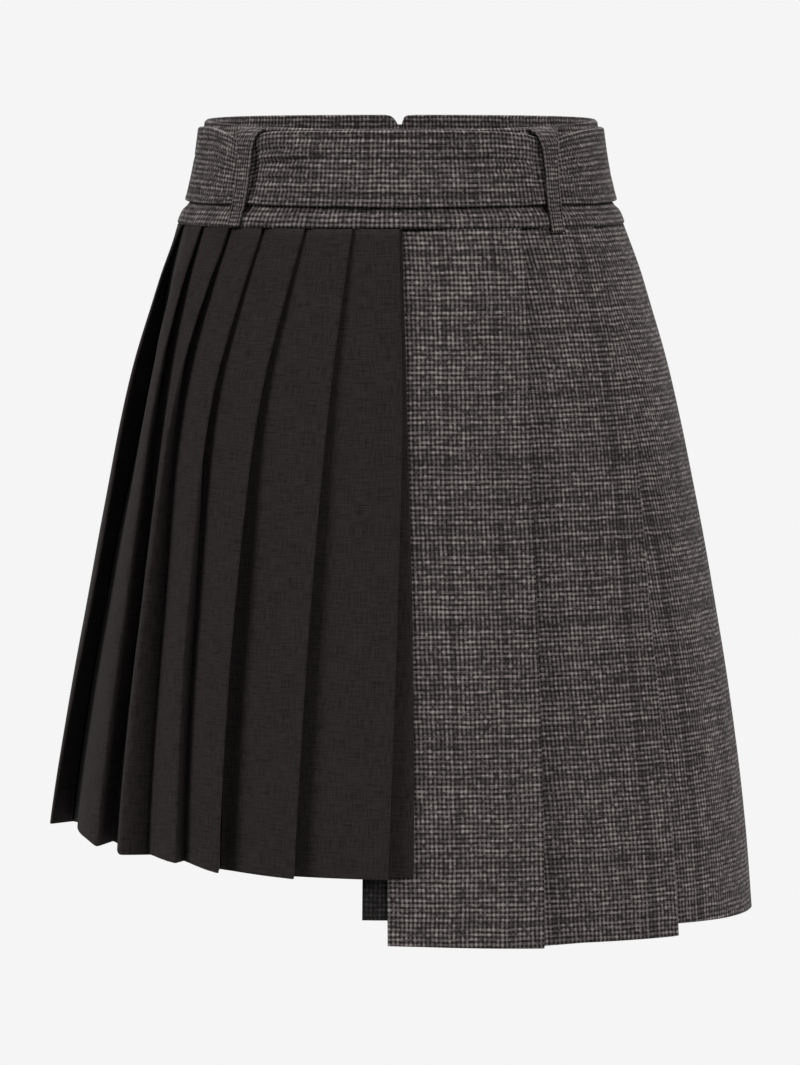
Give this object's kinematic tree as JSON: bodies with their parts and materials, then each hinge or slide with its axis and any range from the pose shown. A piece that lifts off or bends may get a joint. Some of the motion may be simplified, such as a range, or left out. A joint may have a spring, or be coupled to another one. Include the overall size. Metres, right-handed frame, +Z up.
{
  "type": "asymmetric pleated mini skirt",
  "caption": "A-line mini skirt, half of it dark knife-pleated cloth and half a longer wool check with wide flat pleats, with a contoured waistband and a sash belt held by belt loops",
  "frame": {"origin": "on the wearer's axis, level with the top edge of the waistband at the centre back", "axes": "+Z up, -Y to the front, +X to the side with the wide check pleats (the wearer's left)"},
  "size_m": [0.437, 0.3116, 0.492],
  "materials": {
    "check_wool": "grey and near-black micro-check wool, matt and slightly hairy",
    "pleat_cloth": "dark charcoal plain-weave suiting with fine slubs, matt"
  },
  "bodies": {
    "root": {"pleats_front": "pleat_cloth", "pleats_back": "pleat_cloth", "check_front": "check_wool", "check_back": "check_wool", "check_underlap": "check_wool", "waistband_front_left": "check_wool", "waistband_front_right": "check_wool", "waistband_back_left": "check_wool", "waistband_back_right": "check_wool", "sash_belt": "check_wool", "belt_loop_front_left": "check_wool", "belt_loop_front_right": "check_wool", "belt_loop_back_left": "check_wool", "belt_loop_back_right": "check_wool"}
  },
  "joints": []
}
